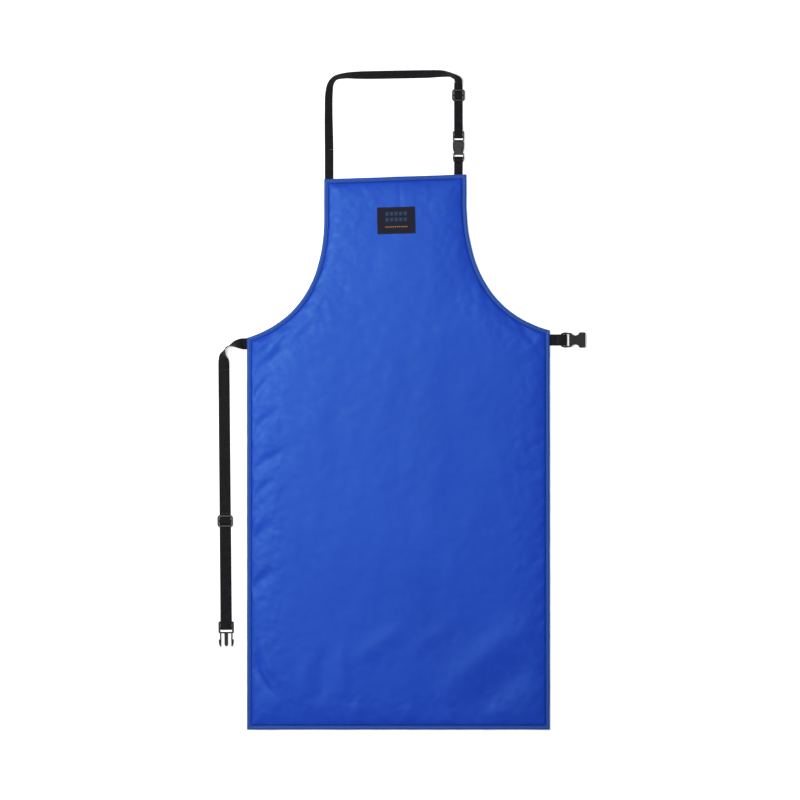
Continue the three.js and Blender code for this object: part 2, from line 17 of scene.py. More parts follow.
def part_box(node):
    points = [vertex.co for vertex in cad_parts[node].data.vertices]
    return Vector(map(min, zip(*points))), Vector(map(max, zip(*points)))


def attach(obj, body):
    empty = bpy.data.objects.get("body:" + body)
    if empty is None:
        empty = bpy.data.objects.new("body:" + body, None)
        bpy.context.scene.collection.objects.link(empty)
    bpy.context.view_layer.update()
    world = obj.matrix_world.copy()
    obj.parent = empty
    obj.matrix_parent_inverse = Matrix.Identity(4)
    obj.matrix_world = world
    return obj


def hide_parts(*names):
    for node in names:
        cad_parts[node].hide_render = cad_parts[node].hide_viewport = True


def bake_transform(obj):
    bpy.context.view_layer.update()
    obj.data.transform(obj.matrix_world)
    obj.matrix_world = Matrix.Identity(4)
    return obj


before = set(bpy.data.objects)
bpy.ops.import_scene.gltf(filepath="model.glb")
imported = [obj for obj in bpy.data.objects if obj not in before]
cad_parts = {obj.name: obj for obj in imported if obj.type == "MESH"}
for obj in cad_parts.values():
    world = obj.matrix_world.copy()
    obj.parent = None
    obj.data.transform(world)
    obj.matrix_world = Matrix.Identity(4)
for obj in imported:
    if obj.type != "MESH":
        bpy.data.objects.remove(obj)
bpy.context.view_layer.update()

mm = 0.001

# ---- Sizes, in millimetres, the same as the frame's ----

apron_length = 1219
bib_height = 360
body_width = 668
bib_width = 314
side_top = 13
armhole_top = 290
armhole_drop = 140
armhole_reach = 125
armhole_flare = 37  # how far above the side's top the curve's handle lies
bib_lean = -7
edge_tilt = 0.035

binding_width = 9
webbing_thickness = 1.4
neck_webbing_width = 19
waist_webbing_width = 25
fold_reach = 1.5
gap = 0.3

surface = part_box("neck_strap_anchor")[0][2] / mm  # what the straps lie on
hem_y = bib_height - apron_length


def middle_of(node):
    """Middle of a CAD node's box, in millimetres."""
    low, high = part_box(node)
    return (Vector(low) + Vector(high)) / 2 / mm


# ---- Camera, light and floor ----


def set_up_camera():
    height = 6.0
    view_width = 1.764
    sensor = 36.0
    data = bpy.data.cameras.new("camera")
    data.sensor_width = sensor
    data.lens = sensor * height / view_width
    data.clip_end = 50
    camera = bpy.data.objects.new("camera", data)
    camera.location = (0.0033, -0.1323, height)
    bpy.context.collection.objects.link(camera)
    bpy.context.scene.camera = camera


def add_area_light(name, place, target, size, power):
    data = bpy.data.lights.new(name, "AREA")
    data.shape = "DISK"
    data.size = size
    data.energy = power
    light = bpy.data.objects.new(name, data)
    light.location = place
    light.visible_camera = False
    light.rotation_euler = (Vector(target) - Vector(place)).to_track_quat("-Z", "Y").to_euler()
    bpy.context.collection.objects.link(light)


def set_up_light():
    middle = (0, -0.13, 0)
    add_area_light("key_light", (-1.0, 0.32, 2.7), middle, 1.1, 74)
    add_area_light("fill_light", (0.3, 0.6, 2.6), middle, 1.8, 5)
    world = bpy.data.worlds.new("studio")
    world.use_nodes = True
    background = world.node_tree.nodes["Background"]
    background.inputs["Color"].default_value = (1.0, 1.0, 1.0, 1.0)
    background.inputs["Strength"].default_value = 0.17
    bpy.context.scene.world = world
    bpy.context.scene.view_settings.view_transform = "Standard"


# ---- Shader node groups ----


def fill(tree, node, values):
    """Gives a node's inputs, by name or number: a socket is linked, any other value is set."""
    for key, value in values.items():
        if isinstance(value, bpy.types.NodeSocket):
            tree.links.new(value, node.inputs[key])
        else:
            node.inputs[key].default_value = value
    return node


def start_group(name, inputs, outputs):
    """A shader node group with its sockets, what they give it, and its output node."""
    group = bpy.data.node_groups.new(name, "ShaderNodeTree")
    for way, sockets in (("INPUT", inputs), ("OUTPUT", outputs)):
        for socket, kind in sockets.items():
            group.interface.new_socket(socket, in_out=way, socket_type=f"NodeSocket{kind}")
    return group, group.nodes.new("NodeGroupInput").outputs, group.nodes.new("NodeGroupOutput")


def add_math(tree, operation, *values):
    """A Math node's output; each value is a socket or a number."""
    node = tree.nodes.new("ShaderNodeMath")
    node.operation = operation
    return fill(tree, node, dict(enumerate(values))).outputs[0]


def add_mix(tree, factor, dark, light):
    """A colour mixed from two, each a socket or a colour."""
    node = tree.nodes.new("ShaderNodeMix")
    node.data_type = "RGBA"
    return fill(tree, node, {0: factor, 6: dark, 7: light}).outputs[2]


def add_noise(tree, vector, scale, detail=3.0, roughness=0.5):
    node = tree.nodes.new("ShaderNodeTexNoise")
    values = {"Vector": vector, "Scale": scale, "Detail": detail, "Roughness": roughness}
    return fill(tree, node, values).outputs["Fac"]


def add_range(tree, value, low, high, to_low=0.0, to_high=1.0):
    node = tree.nodes.new("ShaderNodeMapRange")
    values = {"Value": value, "From Min": low, "From Max": high, "To Min": to_low, "To Max": to_high}
    return fill(tree, node, values).outputs["Result"]


def add_wave(tree, place, threads):
    """-1 to 1 and back, once per thread, along one coordinate in metres."""
    turns = add_math(tree, "MULTIPLY", place, threads)
    return add_math(tree, "SINE", add_math(tree, "MULTIPLY", turns, 2 * math.pi))


def make_plain_weave():
    """Over-and-under cloth across X and Y; Height for bump, Thread for tone."""
    inputs = {"Vector": "Vector", "Threads": "Float"}
    group, given, out = start_group("plain_weave", inputs, {"Height": "Float", "Thread": "Float"})
    split = fill(group, group.nodes.new("ShaderNodeSeparateXYZ"), {0: given["Vector"]})
    warp = add_wave(group, split.outputs["X"], given["Threads"])
    weft = add_wave(group, split.outputs["Y"], given["Threads"])
    checks = add_math(group, "MULTIPLY", warp, weft)
    thread = add_math(group, "MULTIPLY_ADD", checks, 0.5, 0.5)
    slubs = add_noise(group, given["Vector"], 420.0, 2.0)
    fill(group, out, {"Thread": thread, "Height": add_math(group, "MULTIPLY", thread, slubs)})
    return group


def make_cloth_tone():
    """Slow changes of tone over a cloth, from faint handling marks and uneven dye."""
    inputs = {"Vector": "Vector", "Colour": "Color", "Darker": "Color", "Lighter": "Color"}
    group, given, out = start_group("cloth_tone", inputs, {"Colour": "Color", "Mottle": "Float"})
    broad = add_noise(group, given["Vector"], 3.2, 3.0, 0.45)
    fine = add_noise(group, given["Vector"], 60.0, 4.0, 0.6)
    darker = add_mix(group, add_range(group, broad, 0.35, 0.7), given["Colour"], given["Darker"])
    share = add_range(group, fine, 0.5, 0.85, 0.0, 0.5)
    fill(group, out, {"Colour": add_mix(group, share, darker, given["Lighter"]), "Mottle": fine})
    return group


def make_webbing_weave():
    """Ribbed webbing, from the strap's own Along and Across, in metres; Thread is for tone and bump."""
    inputs = {"Along": "Float", "Across": "Float"}
    group, given, out = start_group("webbing_weave", inputs, {"Thread": "Float"})
    ribs = 620.0
    picks = 470.0
    herringbone = 0.0031
    across = add_math(group, "MULTIPLY", given["Across"], ribs * 2 * math.pi)
    rib = add_math(group, "ABSOLUTE", add_math(group, "SINE", across))
    zigzag = add_math(group, "PINGPONG", given["Across"], herringbone)
    slanted = add_math(group, "ADD", given["Along"], add_math(group, "MULTIPLY", zigzag, 0.6))
    pick = add_math(group, "SINE", add_math(group, "MULTIPLY", slanted, picks * 2 * math.pi))
    pick = add_range(group, pick, -1.0, 1.0, 0.35, 1.0)
    fill(group, out, {"Thread": add_math(group, "MULTIPLY", rib, pick)})
    return group


def make_moulded_grain():
    """Fine spark-eroded grain of moulded plastic, with a little handling wear."""
    inputs = {"Vector": "Vector", "Scale": "Float"}
    group, given, out = start_group("moulded_grain", inputs, {"Height": "Float", "Scuff": "Float"})
    grain = add_noise(group, given["Vector"], given["Scale"], 2.0)
    wear = add_noise(group, given["Vector"], 210.0, 5.0, 0.7)
    fill(group, out, {"Height": grain, "Scuff": add_range(group, wear, 0.5, 0.75)})
    return group


plain_weave = make_plain_weave()
cloth_tone = make_cloth_tone()
webbing_weave = make_webbing_weave()
moulded_grain = make_moulded_grain()


# ---- Materials ----


def start_material(name):
    """A new material, its node tree, its shader, and the place of each point on the object."""
    material = bpy.data.materials.new(name)
    material.use_nodes = True
    tree = material.node_tree
    place = tree.nodes.new("ShaderNodeTexCoord").outputs["Object"]
    return material, tree, tree.nodes["Principled BSDF"], place


def use_group(tree, group, **values):
    node = tree.nodes.new("ShaderNodeGroup")
    node.node_tree = group
    return fill(tree, node, values).outputs


def attribute(tree, name):
    node = tree.nodes.new("ShaderNodeAttribute")
    node.attribute_name = name
    return node.outputs["Fac"]


def add_bump(tree, height, strength, distance):
    values = {"Height": height, "Strength": strength, "Distance": distance}
    return fill(tree, tree.nodes.new("ShaderNodeBump"), values).outputs["Normal"]


def make_coated_cloth(name, colour, darker, lighter, painted_seam_shade, roughness, sheen):
    """Close-woven nylon with a soft water-repellent finish, with painted shade darkening it where it is
    drawn into a seam.
    """
    material, tree, shader, place = start_material(name)
    tone = use_group(tree, cloth_tone, Vector=place, Colour=colour, Darker=darker, Lighter=lighter)
    weave = use_group(tree, plain_weave, Vector=place, Threads=640.0)
    fill(tree, shader, {
        # Base colour: the seam attribute mixes in painted shade along the seam.
        "Base Color": add_mix(tree, attribute(tree, "seam"), tone["Colour"], painted_seam_shade),
        "Roughness": add_range(tree, tone["Mottle"], 0.3, 0.7, roughness - 0.05, roughness + 0.06),
        "Specular IOR Level": 0.42,
        "Specular Tint": (0.33, 0.85, 1.0, 1.0),
        "Sheen Weight": sheen,
        "Sheen Roughness": 0.45,
        "Sheen Tint": (0.3, 0.7, 1.0, 1.0),
        "Normal": add_bump(tree, weave["Height"], 0.22, 0.0002),
    })
    return material


def make_webbing_material(name, colour, lighter):
    """Ribbed nylon webbing, with painted shade between its threads, and a little dusty."""
    material, tree, shader, place = start_material(name)
    weave = use_group(tree, webbing_weave, Along=attribute(tree, "along"), Across=attribute(tree, "across"))
    dust = add_range(tree, add_noise(tree, place, 90.0, 5.0, 0.65), 0.4, 0.8, 0.0, 0.6)
    # Painted shade: the colour darkens in the grooves between the ribs, where the bump is low.
    threads = add_mix(tree, weave["Thread"], (*[c * 0.45 for c in colour[:3]], 1), colour)
    fill(tree, shader, {
        "Base Color": add_mix(tree, dust, threads, lighter),
        "Roughness": add_range(tree, weave["Thread"], 0.0, 1.0, 0.85, 0.6),
        "Specular IOR Level": 0.16,
        "Sheen Weight": 0.02,
        "Normal": add_bump(tree, weave["Thread"], 0.5, 0.0004),
    })
    return material


def make_plastic(name, colour, scuffed):
    """Black acetal, moulded with a fine grain and scuffed by use."""
    material, tree, shader, place = start_material(name)
    grain = use_group(tree, moulded_grain, Vector=place, Scale=1500.0)
    fill(tree, shader, {
        "Base Color": add_mix(tree, grain["Scuff"], colour, scuffed),
        "Roughness": add_range(tree, grain["Scuff"], 0.0, 1.0, 0.34, 0.5),
        "Specular IOR Level": 0.4,
        "Normal": add_bump(tree, grain["Height"], 0.12, 0.0002),
    })
    return material


def make_thread(name, colour):
    """Twisted sewing thread, whose tone changes slightly along a row."""
    material, tree, shader, place = start_material(name)
    light = (*[min(1.0, c * 1.5 + 0.01) for c in colour[:3]], 1)
    fill(tree, shader, {
        "Base Color": add_mix(tree, add_noise(tree, place, 700.0, 2.0), colour, light),
        "Roughness": 0.55,
        "Normal": add_bump(tree, add_noise(tree, place, 2600.0, 2.0), 0.3, 0.0001),
    })
    return material


def make_label_cloth(name, colour, thread):
    """Damask label: fine weft floats over a dark ground."""
    material, tree, shader, place = start_material(name)
    weave = use_group(tree, plain_weave, Vector=place, Threads=1500.0)
    fill(tree, shader, {
        "Base Color": add_mix(tree, weave["Thread"], colour, thread),
        "Roughness": 0.65,
        "Specular IOR Level": 0.15,
        "Normal": add_bump(tree, weave["Height"], 0.4, 0.0002),
    })
    return material


def make_floor_material():
    """A pale floor that gives off a little light of its own, so that it stays white."""
    material, tree, shader, place = start_material("studio_floor")
    tone = add_noise(tree, place, 1.2, 2.0)
    fill(tree, shader, {
        "Base Color": add_mix(tree, tone, (0.86, 0.86, 0.86, 1), (0.88, 0.88, 0.88, 1)),
        "Roughness": 0.9,
        "Specular IOR Level": 0.1,
        "Emission Color": (1.0, 1.0, 1.0, 1.0),
        "Emission Strength": 0.55,
    })
    return material


shell_cloth = make_coated_cloth(
    "blue_shell",
    colour=(0.011, 0.052, 0.5, 1),
    darker=(0.009, 0.046, 0.46, 1),
    lighter=(0.021, 0.073, 0.58, 1),
    painted_seam_shade=(0.004, 0.022, 0.24, 1),
    roughness=0.5,
    sheen=0.06,
)
binding_cloth = make_coated_cloth(
    "blue_binding",
    colour=(0.022, 0.066, 0.38, 1),
    darker=(0.018, 0.058, 0.34, 1),
    lighter=(0.032, 0.09, 0.46, 1),
    painted_seam_shade=(0.006, 0.028, 0.25, 1),
    roughness=0.58,
    sheen=0.08,
)
lining_cloth = make_coated_cloth(
    "blue_lining",
    colour=(0.013, 0.054, 0.34, 1),
    darker=(0.01, 0.045, 0.29, 1),
    lighter=(0.02, 0.066, 0.39, 1),
    painted_seam_shade=(0.004, 0.02, 0.17, 1),
    roughness=0.7,
    sheen=0.06,
)
black_webbing = make_webbing_material("black_webbing", (0.0085, 0.008, 0.0105, 1), (0.017, 0.016, 0.02, 1))
black_plastic = make_plastic("black_plastic", (0.0045, 0.0045, 0.005, 1), (0.016, 0.016, 0.017, 1))
blue_thread = make_thread("blue_thread", (0.012, 0.045, 0.27, 1))
black_thread = make_thread("black_thread", (0.012, 0.012, 0.014, 1))
label_ground = make_label_cloth("label_ground", (0.0045, 0.005, 0.013, 1), (0.011, 0.012, 0.028, 1))
label_blue = make_label_cloth("label_blue", (0.018, 0.036, 0.09, 1), (0.03, 0.056, 0.13, 1))
label_orange = make_label_cloth("label_orange", (0.3, 0.12, 0.04, 1), (0.48, 0.24, 0.12, 1))


# ---- Making and placing meshes ----


def add_mesh(name, vertices, faces, material, smooth_angle=50):
    """A mesh object from points in millimetres."""
    mesh = bpy.data.meshes.new(name)
    points = (np.asarray(vertices, dtype=float) * mm).tolist()
    mesh.from_pydata(points, [], [list(map(int, face)) for face in faces])
    mesh.materials.append(material)
    mesh.polygons.foreach_set("use_smooth", [True] * len(mesh.polygons))
    mesh.set_sharp_from_angle(angle=math.radians(smooth_angle))
    mesh.update()
    made = bpy.data.objects.new(name, mesh)
    bpy.context.collection.objects.link(made)
    return made


def apply_modifiers(made):
    """Turns what the modifiers show into the object's own mesh."""
    graph = bpy.context.evaluated_depsgraph_get()
    mesh = bpy.data.meshes.new_from_object(made.evaluated_get(graph))
    made.modifiers.clear()
    made.data = mesh
    mesh.polygons.foreach_set("use_smooth", [True] * len(mesh.polygons))


def set_attribute(made, name, values):
    layer = made.data.attributes.new(name, "FLOAT", "POINT")
    layer.data.foreach_set("value", np.asarray(values, dtype=np.float32))


def quads_between(rings, size, first=0):
    """Quads between closed rings of equal size, whose points are numbered from first."""
    faces = []
    for ring in range(rings - 1):
        for i in range(size):
            a = first + ring * size + i
            b = first + ring * size + (i + 1) % size
            faces.append((a, b, b + size, a + size))
    return faces


def ring_faces(rings, size):
    """Quads between the rings, and a cap over each end."""
    ends = [tuple(range(size))[::-1], tuple((rings - 1) * size + i for i in range(size))]
    return quads_between(rings, size) + ends


def unit_rows(rows):
    return rows / np.linalg.norm(rows, axis=1, keepdims=True)


def distances_along(points):
    """How far along a polyline each of its points lies."""
    return np.concatenate([[0], np.cumsum(np.linalg.norm(np.diff(points, axis=0), axis=1))])


# ---- The body's outline ----


def laid(x, y):
    """Where a point of the flat pattern lies once the apron is laid down."""
    up_the_bib = min(max(y / armhole_top, 0), 1)
    up_the_body = (y - hem_y) / apron_length
    return np.array([x + bib_lean * up_the_bib, y + edge_tilt * x * up_the_body])


def spread(points, spacing):
    """A polyline's points, evened out to about that spacing, with its ends kept."""
    points = np.asarray(points, dtype=float)
    lengths = distances_along(points)
    count = max(2, int(round(lengths[-1] / spacing)) + 1)
    at = np.linspace(0, lengths[-1], count)
    return np.stack([np.interp(at, lengths, points[:, k]) for k in range(points.shape[1])], axis=1)


def armhole(side, spacing):
    """One armhole (-1 left, 1 right), from the bib's corner down to the body's side."""
    corners = np.array([
        [bib_width / 2, armhole_top],
        [bib_width / 2, armhole_top - armhole_drop],
        [body_width / 2 - armhole_reach, side_top + armhole_flare],
        [body_width / 2, side_top],
    ])
    t = np.linspace(0, 1, 120)[:, None]
    weights = [(1 - t) ** 3, 3 * t * (1 - t) ** 2, 3 * t**2 * (1 - t), t**3]
    curve = sum(weight * corner for weight, corner in zip(weights, corners))
    pattern = np.vstack([[bib_width / 2, bib_height], curve])
    return spread([laid(side * x, y) for x, y in pattern], spacing)


def outline_edges(spacing):
    """The six edges in anticlockwise order, by the name of their binding."""
    left = armhole(-1, spacing)
    right = armhole(1, spacing)[::-1]
    hem = [laid(-body_width / 2, hem_y), laid(body_width / 2, hem_y)]
    return {
        "top_binding": spread([right[-1], left[0]], spacing),
        "left_armhole_binding": left,
        "left_side_binding": spread([left[-1], hem[0]], spacing),
        "hem_binding": spread(hem, spacing),
        "right_side_binding": spread([hem[1], right[0]], spacing),
        "right_armhole_binding": right,
    }


def inward_mitres(ring):
    """Direction in which an anticlockwise ring's corners move, per unit of inset."""
    before = ring - np.roll(ring, 1, axis=0)
    after = np.roll(ring, -1, axis=0) - ring
    sides = []
    for step in (before, after):
        unit = unit_rows(step)
        sides.append(np.stack([-unit[:, 1], unit[:, 0]], axis=1))
    shared = 1 + np.sum(sides[0] * sides[1], axis=1, keepdims=True)
    return (sides[0] + sides[1]) / shared


edge_spacing = 6.0
edges = outline_edges(edge_spacing)
outline = np.vstack([edge[:-1] for edge in edges.values()])
mitres = inward_mitres(outline)
edge_starts = dict(zip(edges, np.cumsum([0] + [len(edge) - 1 for edge in edges.values()])))


def distance_to_outline(points):
    """Each point's distance in from the outline, and how far round the outline it is."""
    steps = np.roll(outline, -1, axis=0) - outline
    lengths = np.linalg.norm(steps, axis=1)
    best = np.full(len(points), 1e9)
    along = np.zeros(len(points))
    for start, step, length, before in zip(outline, steps, lengths, distances_along(outline)):
        t = np.clip((points - start) @ step / length**2, 0, 1)
        away = np.linalg.norm(points - (start + t[:, None] * step), axis=1)
        nearer = away < best
        best = np.where(nearer, away, best)
        along = np.where(nearer, before + t * length, along)
    return best, along


def wander(x, y, z, scale, octaves=3):
    """Smooth noise about 0, between roughly -1 and 1."""
    return noise.fractal(Vector((x / scale, y / scale, z)), 0.9, 2.0, octaves)


# ---- The padded body ----

panel_rings = (6.0, 7.6, 8.7, 9.5, 10.4, 11.8, 13.7, 16.4, 20.0)  # insets, under the binding and past it
fine_spacing = 5.5
fine_depth = 85
wide_spacing = 12.5
seam_inset = binding_width + 0.4
edge_level = 3.85  # of the front panel inside the binding
seam_dip = 0.9  # how deep the stitching draws the panel down
padding_rise = 0.9  # beside the seam
padding_roll = 2.5
padding_crown = 5.6  # and further in
padding_crown_reach = 20.0
lining_rise = 1.35
lining_slope = 3.0
fullness_reach = 30.0  # how far in the gathered fullness shows
fullness = 0.1
largest_pucker = 1.7
pucker_height = 1.2
pucker_spacing = 31.0
pucker_slant = 0.9
# Width and strength of the painted shade along the seam.
painted_seam_shade_width = 1.15
painted_seam_shade_share = 0.62
least_level = 2.6  # the lowest that a dent may take the front
held_from = 55  # how far in the cloth starts to be held while it buckles
held_over = 30  # and how much further in it is held fast
cloth_frames = 24
cloth_settings = {
    "quality": 5,
    "mass": 0.2,
    "tension_stiffness": 25,
    "compression_stiffness": 25,
    "shear_stiffness": 8,
    "bending_stiffness": 0.02,
    "air_damping": 3,
    "vertex_group_mass": "pins",
    "vertex_group_shrink": "full",
    "shrink_min": 0.0,
    "shrink_max": -fullness,
}


def panel_points():
    """The rings beside the seam, then points inside: close together near it, wider apart beyond."""
    rings = [outline + mitres * inset for inset in panel_rings]
    fine = hexagonal_points(fine_spacing)
    fine_in, _ = distance_to_outline(fine)
    wide = hexagonal_points(wide_spacing)
    wide_in, _ = distance_to_outline(wide)
    clear = panel_rings[-1] + fine_spacing * 0.6
    keep_fine = fine[(fine_in > clear) & (fine_in < fine_depth) & inside_outline(fine)]
    keep_wide = wide[(wide_in >= fine_depth + fine_spacing) & inside_outline(wide)]
    return rings[0], np.vstack([*rings[1:], keep_fine, keep_wide])


def hexagonal_points(spacing):
    low = outline.min(axis=0)
    high = outline.max(axis=0)
    rows = np.arange(low[1], high[1], spacing * math.sqrt(3) / 2)
    columns = np.arange(low[0], high[0], spacing)
    points = [(x + spacing / 2 * (row % 2), y) for row, y in enumerate(rows) for x in columns]
    return np.array(points)


def inside_outline(points):
    """True for each point inside the outline, by counting the edges that its row crosses."""
    count = np.zeros(len(points), dtype=int)
    for start, end in zip(outline, np.roll(outline, -1, axis=0)):
        straddles = (start[1] > points[:, 1]) != (end[1] > points[:, 1])
        with np.errstate(divide="ignore", invalid="ignore"):
            crossing = start[0] + (points[:, 1] - start[1]) / (end[1] - start[1]) * (end[0] - start[0])
        count += straddles & (points[:, 0] < crossing)
    return count % 2 == 1


def front_level(depth):
    """Height of the padded front at a distance in from the outline."""
    past_seam = np.maximum(depth - seam_inset, 0)
    roll = padding_rise * (1 - np.exp(-past_seam / padding_roll))
    crown = padding_crown * (1 - np.exp(-past_seam / padding_crown_reach))
    dip = seam_dip * np.exp(-((depth - seam_inset) / 1.3) ** 2)
    return edge_level + roll + crown - dip


def back_level(depth):
    """Height of the lining, which rises where the binding closes over it."""
    return lining_rise * np.clip((seam_inset + lining_slope - depth) / lining_slope, 0, 1)


def simulate_fullness(points, triangles, depth):
    """Cloth that is a little too full at the seam, pinned there, buckles into its puckers."""
    panel = add_mesh("panel_under_test", points, triangles, shell_cloth)
    pins = panel.vertex_groups.new(name="pins")
    full = panel.vertex_groups.new(name="full")
    hold = np.maximum(np.clip((depth - held_from) / held_over, 0, 1), depth < seam_inset)
    fuller = np.exp(-np.maximum(depth - seam_inset, 0) / fullness_reach)
    for i in range(len(points)):
        pins.add([i], float(hold[i]), "REPLACE")
        full.add([i], float(fuller[i]), "REPLACE")
    cloth = panel.modifiers.new("cloth", "CLOTH")
    for setting, value in cloth_settings.items():
        setattr(cloth.settings, setting, value)
    cloth.settings.effector_weights.gravity = 0
    cloth.collision_settings.use_collision = False
    scene = bpy.context.scene
    for number in range(cloth_frames):
        scene.frame_set(number + 1)
    graph = bpy.context.evaluated_depsgraph_get()
    moved = panel.evaluated_get(graph).to_mesh()
    found = np.empty(len(points) * 3)
    moved.vertices.foreach_get("co", found)
    scene.frame_set(1)
    bpy.data.objects.remove(panel)
    shift = found.reshape(-1, 3) / mm - points
    size = np.linalg.norm(shift, axis=1, keepdims=True)
    return points + shift * np.tanh(size / largest_pucker) * largest_pucker / np.maximum(size, 1e-6)


def pucker_strength(x, y):
    """How strongly the seam gathers the front: most at the sides and armholes, least at the top."""
    if y > bib_height - 60:
        return 0.35
    if y > 0:
        return 1.0
    if y < hem_y + 45:
        return 0.7
    return 1.1 if x < 0 else 1.0


def puckers(x, y, depth, along):
    """Short slanted dents that run in from the seam, irregular in length and spacing."""
    past_seam = max(depth - seam_inset, 0)
    across = (along + pucker_slant * past_seam) / pucker_spacing
    reach = 24 + 16 * noise.noise(Vector((along / 70, 7.7, 0)))
    small = noise.noise(Vector((across * 2, past_seam / 60, 2.3)))
    large = noise.noise(Vector((across, past_seam / 110, 9.1)))
    gathered = math.exp(-((past_seam - 9) / reach) ** 2) * min(past_seam / 5, 1)
    return pucker_height * pucker_strength(x, y) * gathered * (0.35 * small + 1.3 * large)


def lay_of_the_cloth(x, y, depth):
    """Slow rise and fall of the laid front, fading out at the seam."""
    broad = 1.6 * wander(x, y * 0.6, 3.1, 170) + 0.4 * wander(x, y * 0.7, 8.4, 62)
    return broad * min(max((depth - seam_inset) / 40, 0), 1)


# Creases and folds where the laid cloth has settled: ends, sideways bow, width and height.
Crease = namedtuple("Crease", "x0 y0 x1 y1 bow width height")
creases = [Crease(*numbers) for numbers in (
    # the bib's middle, under the top binding
    (1, 362, 4, 276, 1, 5, -0.8),
    (-150, 318, -96, 352, 5, 8, 0.9),
    (118, 322, 150, 352, 4, 7, -0.8),
    # out of the left and right waist corners, towards the bib
    (-318, -34, -276, 12, 4, 6.5, 1.6),
    (-284, -26, -230, 30, 5, 6.5, 1.5),
    (-244, -12, -186, 52, 6, 8, 1.3),
    (-196, 30, -158, 112, 5, 9, 1.0),
    (300, -26, 262, 14, -4, 7, 1.0),
    (262, -8, 214, 44, -5, 8, 0.9),
    # slanted dents down the left side
    (-326, -92, -236, -14, 6, 12, -2.4),
    (-328, -150, -276, -70, 5, 11, -2.2),
    (-328, -222, -264, -150, 5, 12, -2.5),
    (-328, -300, -250, -244, 5, 13, -2.4),
    (-328, -368, -276, -306, 4, 9, -2.2),
    (-328, -466, -276, -400, 4, 11, -2.2),
    (-328, -572, -274, -504, 5, 12, -2.2),
    # and up the right side
    (324, -222, 282, -246, -3, 7, -1.2),
    (324, -300, 250, -284, -4, 8, -1.3),
    (326, -474, 284, -500, -3, 8, -1.2),
    (326, -612, 288, -640, -3, 8, -1.0),
    # the lower left corner
    (-318, -660, -262, -790, -20, 7.5, -2.8),
    (-300, -650, -246, -762, -16, 9, 1.6),
    (-208, -690, -208, -790, 3, 12, 1.7),
    (-170, -670, -172, -800, 3, 11, -1.7),
    (-129, -662, -126, -790, 4, 15, 2.0),
    # across the lower right
    (86, -806, 300, -616, 16, 30, 3.9),
    (160, -826, 302, -706, 8, 32, -4.2),
    (-98, -712, 26, -632, 8, 18, 2.2),
    (30, -690, 112, -634, 6, 14, 1.5),
    # scallops above the hem
    (-96, -852, -92, -800, 0, 15, 1.8),
    (20, -852, 18, -806, 0, 15, 1.8),
    (108, -852, 112, -812, 0, 14, 1.6),
    (218, -850, 214, -800, 0, 16, 1.4),
)]


def drawn_folds(flat):
    """How far the creases lift each point of the front."""
    total = np.zeros(len(flat))
    for crease in creases:
        start = np.array([crease.x0, crease.y0])
        run = np.array([crease.x1, crease.y1]) - start
        length = np.linalg.norm(run)
        share = np.clip((flat - start) @ run / length**2, 0, 1)
        aside = ((flat - start) @ np.array([-run[1], run[0]])) / length
        fade = 4 * share * (1 - share)
        total += crease.height * fade**0.7 * np.exp(-(((aside - crease.bow * fade) / crease.width) ** 2))
    return total


def make_body():
    ring, inside = panel_points()
    flat = np.vstack([ring, inside])
    border = [(i, (i + 1) % len(ring)) for i in range(len(ring))]
    filled = delaunay_2d_cdt([Vector(p) for p in flat], border, [list(range(len(ring)))], 1, 0.01)
    flat = np.array([tuple(p) for p in filled[0]])
    triangles = [list(face) for face in filled[2]]
    depth, along = distance_to_outline(flat)
    ripple = np.array([0.5 * wander(x, y, 1.7, 14, 2) for x, y in flat])
    start = np.column_stack([flat, front_level(depth) + ripple * (depth > seam_inset + 2)])
    front = simulate_fullness(start, triangles, depth)
    front[:, 2] += drawn_folds(flat) * np.clip((depth - seam_inset - 2) / 9, 0, 1)
    front[:, 2] += [
        lay_of_the_cloth(x, y, d) + puckers(x, y, d, run) for (x, y), d, run in zip(flat, depth, along)
    ]
    front[:, 2] = np.maximum(front[:, 2], least_level)
    back = np.column_stack([flat, back_level(depth)])
    back[:, 2] += [
        0.25 * (1 + wander(x, y, 5.5, 90)) * min(max((d - 12) / 20, 0), 1) for (x, y), d in zip(flat, depth)
    ]
    count = len(flat)
    faces = triangles + [[count + c, count + b, count + a] for a, b, c in triangles]
    faces += [[b, a, count + a, count + b] for a, b in rim_loop(triangles)]
    body = add_mesh("padded_body", np.vstack([front, back]), faces, shell_cloth, 70)
    body.data.materials.append(lining_cloth)
    cloth_of_face = [0] * len(triangles) + [1] * (len(faces) - len(triangles))
    body.data.polygons.foreach_set("material_index", cloth_of_face)
    smooth = body.modifiers.new("smooth", "SUBSURF")
    smooth.levels = 1
    smooth.render_levels = 1
    apply_modifiers(body)
    paint_seam_shade(body)
    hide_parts("front_panel", "back_panel", "padding")
    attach(body, "apron")
    return body


def paint_seam_shade(made):
    """Marks how close each point is to the seam, for the painted shade that darkens the cloth there."""
    places = np.empty(len(made.data.vertices) * 3)
    made.data.vertices.foreach_get("co", places)
    depth, _ = distance_to_outline(places.reshape(-1, 3)[:, :2] / mm)
    near = np.exp(-(((depth - seam_inset) / painted_seam_shade_width) ** 2))
    set_attribute(made, "seam", painted_seam_shade_share * near)


def rim_loop(triangles):
    """The directed edges that belong to one triangle only."""
    directed = {(t[i], t[(i + 1) % 3]) for t in triangles for i in range(3)}
    return [(a, b) for a, b in directed if (b, a) not in directed]


# ---- The bindings ----

